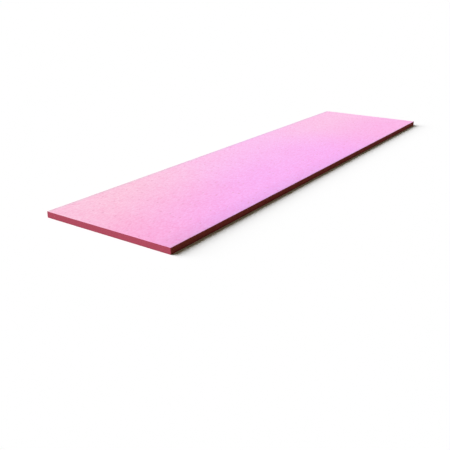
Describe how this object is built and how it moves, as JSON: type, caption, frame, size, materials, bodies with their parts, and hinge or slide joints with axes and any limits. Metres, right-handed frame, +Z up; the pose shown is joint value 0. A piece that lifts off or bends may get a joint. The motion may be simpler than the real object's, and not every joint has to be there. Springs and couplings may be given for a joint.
{
  "type": "xps insulation board",
  "caption": "Flat rectangular sheet of rigid extruded polystyrene foam with square butt edges, laid or fixed as thermal insulation.",
  "frame": {"origin": "centre of the face that the board lies on", "axes": "+X along the length, +Y across the width, +Z up through the thickness"},
  "size_m": [2.4, 0.6, 0.025],
  "materials": {
    "pink_foam": "pale pink closed-cell foam: a smooth, faintly mottled extrusion skin on both faces, and sawn sides and ends in a deeper rose"
  },
  "bodies": {
    "root": {"foam_board": "pink_foam"}
  },
  "joints": []
}
